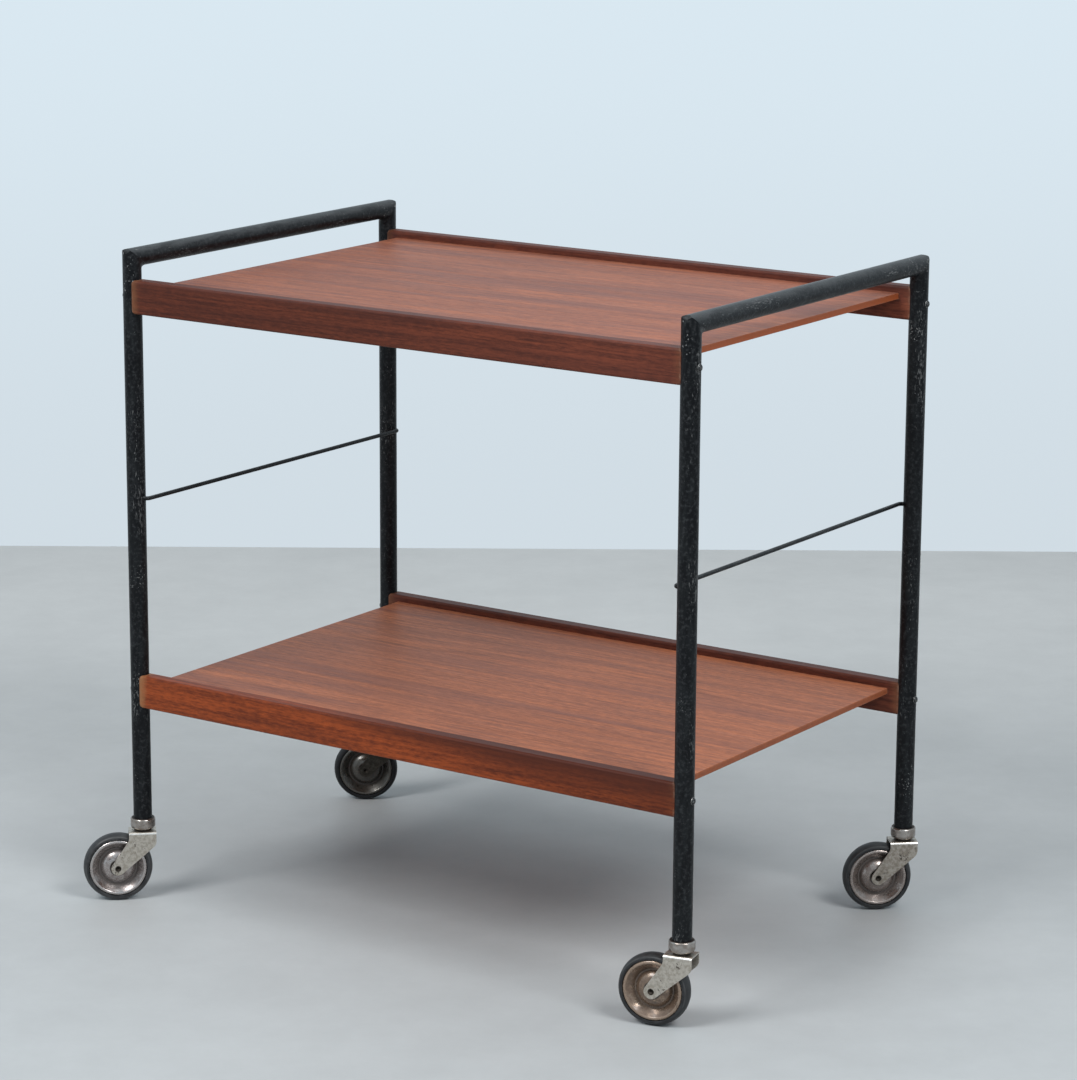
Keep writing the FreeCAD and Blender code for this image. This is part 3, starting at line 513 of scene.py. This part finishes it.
# %% [markdown]
# ## Black paint
# The tubes were sprayed satin black long ago. From close by the paint is lumpy, rubbed grey in streaks along
# each tube, painted paler on its upper sides as painted light from above, and chipped to the pale primer
# where bottles and furniture have struck it, most of all at the corners. An image of scratches would repeat;
# noise stretched along the tube doesn't. Posts and bars differ only in the direction of the streaks and in
# where the noise is read.

# %% Where the primer shows
SCRATCH_STRENGTH = 0.40
CORNER_OUTWARD = (0.185, 0.205)
CORNER_UPWARD = (0.578, 0.608)


def bared_paint(tree, where, drawn):
    """Where the primer shows: chips, more of them at the upper corners, and fine scratches."""
    scratched = mask(tree, chips, Vector=drawn, Scale=900.0, Cluster=40.0, Amount=0.92)
    chipped = mask(tree, chips, Vector=where, Scale=620.0, Cluster=20.0, Amount=0.70)
    struck = mask(tree, chips, Vector=where, Scale=420.0, Cluster=120.0, Amount=0.90)
    axes = split(tree, on_piece(tree))
    outward = fade(tree, calculate(tree, "ABSOLUTE", axes["Y"]), *CORNER_OUTWARD)
    corner = calculate(tree, "MULTIPLY", outward, fade(tree, axes["Z"], *CORNER_UPWARD))
    bare = calculate(tree, "MAXIMUM", chipped, calculate(tree, "MULTIPLY", struck, corner))
    return calculate(tree, "MAXIMUM", bare, calculate(tree, "MULTIPLY", scratched, SCRATCH_STRENGTH))


print(f"corners are struck above {CORNER_UPWARD[0]} m")

# %% Chipped paint
BLACK = (0.0035, 0.0040, 0.0052, 1)
RUBBED = (0.009, 0.0105, 0.0120, 1)
GREYED = (0.040, 0.043, 0.046, 1)
PAINTED_TOP_LIGHT = (0.072, 0.078, 0.082, 1)
PRIMER = (0.24, 0.245, 0.245, 1)
MOTTLE_STRENGTH = 0.6
POSTS = [f"{side}_{end}_post" for side in ("left", "right") for end in ("front", "rear")]
BARS = [f"{side}_{part}" for side in ("left", "right") for part in ("handle", "tie_rod")]


def chipped_paint(name, along, shift, *pieces):
    """Black paint, streaked along the tube, painted paler on its upper sides as painted light, and chipped.
    """
    material, tree, shader = new_material(name, specular_ior_level=0.15)
    where = stretch(tree, on_piece(tree), (1, 1, 1), shift)
    drawn = stretch(tree, where, along)
    streaked = mask(tree, blotches, Vector=drawn, Scale=150.0, Cover=0.45)
    base = mix_colours(tree, streaked, BLACK, RUBBED)
    mottled = fade(tree, noise(tree, where, 330.0, detail=4.0, roughness=0.65), 0.48, 0.68)
    base = mix_colours(tree, calculate(tree, "MULTIPLY", mottled, MOTTLE_STRENGTH), base, GREYED)
    # Painted light: the upper sides are painted paler, where the light from above falls on them.
    facing_up = split(tree, place(tree, "NewGeometry").outputs["Normal"])["Z"]
    top_light_breakup = fade(tree, streaked, -1.0, 1.6)
    top_light_share = calculate(tree, "MULTIPLY", fade(tree, facing_up, 0.1, 1.1), top_light_breakup)
    base = mix_colours(tree, top_light_share, base, PAINTED_TOP_LIGHT)
    bare = bared_paint(tree, where, drawn)
    tree.links.new(mix_colours(tree, bare, base, PRIMER), shader["Base Color"])
    rough = calculate(tree, "MULTIPLY_ADD", streaked, 0.16, 0.30)
    tree.links.new(calculate(tree, "MULTIPLY_ADD", bare, 0.25, rough), shader["Roughness"])
    skin = noise(tree, where, 420.0, detail=4.0, roughness=0.6)
    lumpy = calculate(tree, "MULTIPLY_ADD", bare, -0.6, skin)
    emboss(tree, shader, lumpy, strength=0.5, distance=0.0004)
    dress(material, *pieces)
    return material


post_paint = chipped_paint("black_paint_posts", (1, 1, 0.22), (0, 0, 0), *POSTS)
chipped_paint("black_paint_bars", (1, 0.22, 1), (0.7, 0.3, 0.1), *BARS)

# %% [markdown]
# ## Welds at the corners
# Post and handle are cut at 45 degrees and welded, and the welder's bead fills the inner corner. A ball
# or a torus there would look stuck on. The bead is lofted instead: at each place along the joint a hollow
# curve runs from the post to the handle, tangent to both, and it thins out to nothing at the sides, where
# the two tubes lie flush. It was filed smooth before painting, so it carries no ripples.

# %% Curves of a bead
WELD_ON_HANDLE = 0.0085
WELD_ON_POST = 0.0060
PLACES_ALONG = 72
PLACES_ACROSS = 8


def weld_rows(side, end):
    """The curves of a bead, one for each place along the joint of a post and a handle."""
    low, high = (Vector(corner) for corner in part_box(f"{side}_{end}_post"))
    tube = (high.x - low.x) / 2
    inward = 1 if end == "front" else -1
    handle_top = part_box(f"{side}_handle")[1][2]
    centre = Vector(((low.x + high.x) / 2, (low.y + high.y) / 2, handle_top - tube))
    rows = []
    for step in range(1, PLACES_ALONG):
        turn = math.pi * step / PLACES_ALONG
        seam = centre + tube * Vector((math.cos(turn), inward * math.sin(turn), -math.sin(turn)))
        on_post = seam + Vector((0, 0, -WELD_ON_POST * math.sin(turn)))
        on_handle = seam + Vector((0, inward * WELD_ON_HANDLE * math.sin(turn), 0))
        curve = [seam]
        for mark in range(PLACES_ACROSS + 1):
            share = mark / PLACES_ACROSS
            rest = 1 - share
            curve.append(rest ** 2 * on_post + 2 * share * rest * seam + share ** 2 * on_handle)
        rows.append(curve)
    return rows


print(f"{len(weld_rows('left', 'front'))} curves to a bead")

# %% Lofted fillets
import bmesh


def weld(side, end, material):
    """The bead in the inner corner between a post and a handle."""
    rows = weld_rows(side, end)
    points = [point for curve in rows for point in curve]
    width = PLACES_ACROSS + 2
    faces = [tuple(range(width)), tuple(range(len(points) - width, len(points)))]
    for row in range(len(rows) - 1):
        near = row * width
        far = near + width
        for mark in range(width):
            after = (mark + 1) % width
            faces.append((near + mark, near + after, far + after, far + mark))
    mesh = bpy.data.meshes.new(f"{side}_{end}_weld")
    mesh.from_pydata(points, [], faces)
    shape = bmesh.new()
    shape.from_mesh(mesh)
    bmesh.ops.recalc_face_normals(shape, faces=shape.faces)
    shape.to_mesh(mesh)
    shape.free()
    mesh.shade_smooth()
    bead = bpy.data.objects.new(mesh.name, mesh)
    bpy.context.scene.collection.objects.link(bead)
    dress(material, bead.name)
    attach(bead, "cart_frame")


for side in ("left", "right"):
    for end in ("front", "rear"):
        weld(side, end, post_paint)

# %% [markdown]
# ## Screws
# The screws were painted with the frame, and a screwdriver has since bared their rims and slots. Each rim
# could be drawn by hand, eight times over. The edge wear group finds those edges by itself, and a little
# noise keeps the bare places uneven.

# %% Painted screws
SCREW_BLACK = (0.012, 0.013, 0.014, 1)
SCREW_STEEL = (0.46, 0.45, 0.43, 1)

screw_paint, tree, shader = new_material("black_paint_screws", specular_ior_level=0.4)
where = on_piece(tree)
edges = mask(tree, edge_wear, Radius=0.0006)
bare = calculate(tree, "MULTIPLY", edges, fade(tree, noise(tree, where, 600.0), 0.32, 0.52))
tree.links.new(mix_colours(tree, bare, SCREW_BLACK, SCREW_STEEL), shader["Base Color"])
tree.links.new(bare, shader["Metallic"])
tree.links.new(calculate(tree, "MULTIPLY_ADD", noise(tree, where, 900.0), 0.25, 0.25), shader["Roughness"])
dress(screw_paint, "upper_tray_screws", "lower_tray_screws")

# %% [markdown]
# ## Plated steel
# Collars and forks are nickel-plated steel that has gone dull. The collars are polished and brownish, and
# darker in the seam under the post. The front forks are even and pale with small dark pits where the plating
# has lifted, and the rear ones are darker, the rear left one much darker. All but the rear left fork carry a
# painted highlight along their bend. One steel for all would be quicker, but the casters have not aged
# alike. The same two groups draw blotches and pits for each, with its own values.

# %% Values of each plating
PIT = (0.045, 0.034, 0.028, 1)
PAINTED_BEND_HIGHLIGHT = (0.72, 0.69, 0.65, 1)
PIT_STRENGTH = 0.8
FORK_BEND = (0.0677, 0.0687)
POST_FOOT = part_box("left_front_post")[0][2]
COLLAR_SEAM = (POST_FOOT - 0.0003, POST_FOOT + 0.0010)
NO_BAND = (0.0, 0.0)
PLATINGS = {
    "collar_plating": {
        "clean": (0.40, 0.368, 0.342, 1), "stained": (0.26, 0.222, 0.195, 1), "cover": 0.50, "scale": 150.0,
        "polish": 0.16, "pitting": 0.70, "bright": NO_BAND, "dark_seam": COLLAR_SEAM},
    "front_fork_plating": {
        "clean": (0.56, 0.515, 0.455, 1), "stained": (0.40, 0.355, 0.30, 1), "cover": 0.48, "scale": 300.0,
        "polish": 0.36, "pitting": 0.95, "bright": FORK_BEND, "dark_seam": NO_BAND},
    "rear_right_fork_plating": {
        "clean": (0.43, 0.385, 0.335, 1), "stained": (0.28, 0.240, 0.20, 1), "cover": 0.52, "scale": 300.0,
        "polish": 0.36, "pitting": 0.95, "bright": FORK_BEND, "dark_seam": NO_BAND},
    # The rear left fork is much darker than the other forks.
    "rear_left_fork_plating": {
        "clean": (0.080, 0.071, 0.060, 1), "stained": (0.045, 0.039, 0.032, 1), "cover": 0.60,
        "scale": 300.0, "polish": 0.36, "pitting": 0.95, "bright": NO_BAND, "dark_seam": NO_BAND},
    "hub_steel": {
        "clean": (0.30, 0.27, 0.24, 1), "stained": (0.10, 0.085, 0.07, 1), "cover": 0.60, "scale": 200.0,
        "polish": 0.35, "pitting": 0.70, "bright": NO_BAND, "dark_seam": NO_BAND},
}
print(f"{len(PLATINGS)} platings, the posts end {POST_FOOT:.4f} m above the floor")

# %% Tarnished plating
def band(tree, amount, low, high, blur):
    """1 while an amount is between low and high, fading over a blur on both sides."""
    risen = fade(tree, amount, low - blur, low + blur)
    return calculate(tree, "SUBTRACT", risen, fade(tree, amount, high - blur, high + blur))


def plating(name, clean, stained, cover, scale, polish, pitting, bright, dark_seam):
    """Old plating: clean metal, stained blotches, dark pits, a band of painted highlight and a dark seam."""
    material, tree, shader = new_material(name, metallic=1.0)
    where = on_piece(tree)
    stain = mask(tree, blotches, Vector=where, Scale=scale, Cover=cover)
    pits = mask(tree, chips, Vector=where, Scale=700.0, Cluster=90.0, Amount=pitting)
    height = split(tree, where)["Z"]
    # Painted highlight: a pale, smoother band along the bend of the fork.
    rubbed = band(tree, height, *bright, blur=0.0005)
    # The collar is darker in a narrow band at the seam under the post.
    seam = band(tree, height, *dark_seam, blur=0.0004)
    toned = mix_colours(tree, stain, clean, stained)
    toned = mix_colours(tree, rubbed, toned, PAINTED_BEND_HIGHLIGHT)
    spoiled = calculate(tree, "MAXIMUM", calculate(tree, "MULTIPLY", pits, PIT_STRENGTH), seam)
    tree.links.new(mix_colours(tree, spoiled, toned, PIT), shader["Base Color"])
    rough = calculate(tree, "MULTIPLY_ADD", stain, 0.14, polish)
    rough = calculate(tree, "MULTIPLY_ADD", rubbed, -0.16, rough)
    tree.links.new(calculate(tree, "MULTIPLY_ADD", spoiled, 0.35, rough), shader["Roughness"])
    dents = calculate(tree, "MULTIPLY_ADD", pits, -0.5, noise(tree, where, 500.0))
    emboss(tree, shader, dents, strength=0.15, distance=0.0002)
    return material


metal = {name: plating(name, **finish) for name, finish in PLATINGS.items()}
print("made:", ", ".join(metal))

# %% Plated pieces
CORNERS = [f"{end}_{side}" for end in ("front", "rear") for side in ("left", "right")]


def at_corners(*parts):
    """The names of caster pieces, at all four corners."""
    return [f"{corner}_{part}" for corner in CORNERS for part in parts]


dress(metal["collar_plating"], *at_corners("caster_socket", "caster_stem"))
dress(metal["front_fork_plating"], "front_left_caster_fork", "front_right_caster_fork")
dress(metal["rear_right_fork_plating"], "rear_right_caster_fork")
dress(metal["rear_left_fork_plating"], "rear_left_caster_fork")
dress(metal["hub_steel"], *at_corners("wheel_bush"))

# %% Greasy washers and axles
GREASE = (0.016, 0.014, 0.012, 1)
GREASY_STEEL = (0.085, 0.072, 0.060, 1)

oiled, tree, shader = new_material("oiled_steel", metallic=1.0)
wiped = noise(tree, on_piece(tree), 240.0, detail=4.0)
tree.links.new(mix_colours(tree, wiped, GREASE, GREASY_STEEL), shader["Base Color"])
tree.links.new(calculate(tree, "MULTIPLY_ADD", wiped, 0.3, 0.4), shader["Roughness"])
dress(oiled, *at_corners("caster_washer", "caster_grip_ring", "wheel_axle"))

# %% [markdown]
# ## Wheel discs
# The discs are pressed from sheet: a dome at the hub, a valley, a slope and a rolled bead at the rim. The
# bead is rubbed bright, dirt and rust stay in the valley with painted shade, and each of the four wheels has
# aged in its own colour under a thin film of grease, which is the shader's coat; the rear left one is
# painted darker still, painted shade for the shadow of the tray above it. Painting by distance from the axle
# keeps these rings on the wheel while it turns, where a texture set on the world would slide through it.

# %% Rings and tones of the discs
VALLEY = (0.0160, 0.0196)
BEAD = (0.0250, 0.0290)
HUB = (0.0, 0.0082)
SPECKLE_STRENGTH = 0.75
DISCS = {
    "front_left": {"clean": (0.42, 0.385, 0.37, 1), "stained": (0.205, 0.170, 0.160, 1), "cover": 0.42,
                   "valley_dirt_and_shade": 0.75, "shine": 0.80, "patina": 0.35},
    "front_right": {"clean": (0.31, 0.222, 0.162, 1), "stained": (0.130, 0.081, 0.052, 1), "cover": 0.62,
                    "valley_dirt_and_shade": 0.40, "shine": 0.80, "patina": 0.80},
    # The rear left disc's very dark tones are painted shade, for the shadow of the tray above it.
    "rear_left": {"clean": (0.105, 0.095, 0.082, 1), "stained": (0.055, 0.048, 0.040, 1), "cover": 0.65,
                  "valley_dirt_and_shade": 0.85, "shine": 0.30, "patina": 0.60},
    "rear_right": {"clean": (0.33, 0.280, 0.255, 1), "stained": (0.185, 0.146, 0.128, 1), "cover": 0.50,
                   "valley_dirt_and_shade": 0.70, "shine": 0.60, "patina": 0.60},
}
print(f"tones for the discs of {len(DISCS)} wheels")

# %% Round the axles
SPINS = {joint["child"]: joint for joint in frame["joints"]}


def around_axle(tree, corner):
    """The distance from a wheel's axle, and fine lines round it."""
    spin = SPINS[f"{corner}_wheel"]
    values = {"Vector": on_piece(tree), "Centre": spin["pos_m"], "Axle": spin["axis"]}
    return place(tree, "Group", values, node_tree=from_axle).outputs


print("axles:", ", ".join(name for name in SPINS if name.endswith("wheel")))

# %% Pressed discs
def pressed_disc(corner, clean, stained, cover, valley_dirt_and_shade, shine, patina):
    """Pressed steel gone brown: valley darkened by dirt and painted shade, bright bead, fine lines from
    rolling.
    """
    material, tree, shader = new_material(f"{corner}_disc_steel", coat_weight=0.6, coat_roughness=0.16)
    where = on_piece(tree)
    round_axle = around_axle(tree, corner)
    radius = round_axle["Radius"]
    rust = mask(tree, blotches, Vector=where, Scale=190.0, Cover=cover)
    pits = mask(tree, chips, Vector=where, Scale=800.0, Cluster=120.0, Amount=0.85)
    # Dirt and painted shade darken the valley and take away its metal shine.
    dirt_and_shade = calculate(tree, "MULTIPLY", band(tree, radius, *VALLEY, blur=0.0019), valley_dirt_and_shade)
    speckled = fade(tree, noise(tree, where, 540.0, detail=3.0, roughness=0.7), 0.44, 0.62)
    dull = calculate(tree, "MAXIMUM", rust, dirt_and_shade)
    dull = calculate(tree, "MAXIMUM", dull, calculate(tree, "MULTIPLY", speckled, SPECKLE_STRENGTH))
    toned = mix_colours(tree, dull, clean, stained)
    rubbed = calculate(tree, "MULTIPLY", band(tree, radius, *BEAD, blur=0.0007), shine)
    toned = mix_colours(tree, rubbed, toned, clean)
    spotted = calculate(tree, "MULTIPLY", pits, PIT_STRENGTH)
    spotted = calculate(tree, "MAXIMUM", spotted, band(tree, radius, *HUB, blur=0.0004))
    spotted = calculate(tree, "MAXIMUM", spotted, dirt_and_shade)
    tree.links.new(mix_colours(tree, spotted, toned, PIT), shader["Base Color"])
    covered = calculate(tree, "MAXIMUM", dirt_and_shade, calculate(tree, "MULTIPLY", dull, patina))
    tree.links.new(calculate(tree, "SUBTRACT", 1.0, covered), shader["Metallic"])
    tree.links.new(calculate(tree, "MULTIPLY_ADD", dull, 0.16, 0.19), shader["Roughness"])
    uneven = calculate(tree, "MULTIPLY_ADD", noise(tree, where, 600.0), 0.5, round_axle["Lines"])
    emboss(tree, shader, uneven, strength=0.12, distance=0.0002)
    dress(material, f"{corner}_wheel_outer_disc", f"{corner}_wheel_inner_disc")


for corner, finish in DISCS.items():
    pressed_disc(corner, **finish)

# %% [markdown]
# ## Rubber tyres
# Old black rubber is grey with dust in blotches, and its shoulder has a paler line, a painted highlight
# where the ridge at the shoulder catches the light. A cut groove would be too deep for that line, so it is
# only a change of colour, placed by the same distance from the axle and broken by noise. Each tyre has its
# own dust, shoulder highlight and gloss.

# %% Aged rubber
SHOULDER = (0.0306, 0.0318)
RUBBER = (0.017, 0.0175, 0.019, 1)
DUST = (0.070, 0.071, 0.072, 1)
TYRES = {
    "front_left": {"dust": 0.50, "painted_shoulder_highlight": 1.0, "gloss": 0.32},
    "front_right": {"dust": 0.35, "painted_shoulder_highlight": 0.8, "gloss": 0.28},
    # The rear left tyre's little dust and faint shoulder line are painted shade, for the shadow of the tray
    # above it.
    "rear_left": {"dust": 0.10, "painted_shoulder_highlight": 0.3, "gloss": 0.12},
    "rear_right": {"dust": 0.35, "painted_shoulder_highlight": 0.8, "gloss": 0.30},
}


def aged_rubber(corner, dust, painted_shoulder_highlight, gloss):
    """A rubber tyre: blotches of dust and a pale broken line at the shoulder, a painted highlight."""
    material, tree, shader = new_material(f"{corner}_rubber", specular_ior_level=gloss)
    where = on_piece(tree)
    radius = around_axle(tree, corner)["Radius"]
    dusty = mask(tree, blotches, Vector=where, Scale=130.0, Cover=0.5)
    broken = calculate(tree, "MULTIPLY", fade(tree, noise(tree, where, 50.0), 0.3, 0.6), painted_shoulder_highlight)
    # Painted highlight: a pale broken line along the shoulder.
    line = calculate(tree, "MULTIPLY", band(tree, radius, *SHOULDER, blur=0.0005), broken)
    pale = calculate(tree, "MAXIMUM", calculate(tree, "MULTIPLY", dusty, dust), line)
    tree.links.new(mix_colours(tree, pale, RUBBER, DUST), shader["Base Color"])
    tree.links.new(calculate(tree, "MULTIPLY_ADD", dusty, 0.2, 0.42), shader["Roughness"])
    emboss(tree, shader, noise(tree, where, 900.0, detail=4.0), strength=0.2, distance=0.0002)
    dress(material, f"{corner}_tyre")


for corner, wear in TYRES.items():
    aged_rubber(corner, **wear)

# %% [markdown]
# ## Finish
# This last cell only loads the json module.

# %% Finish
import json
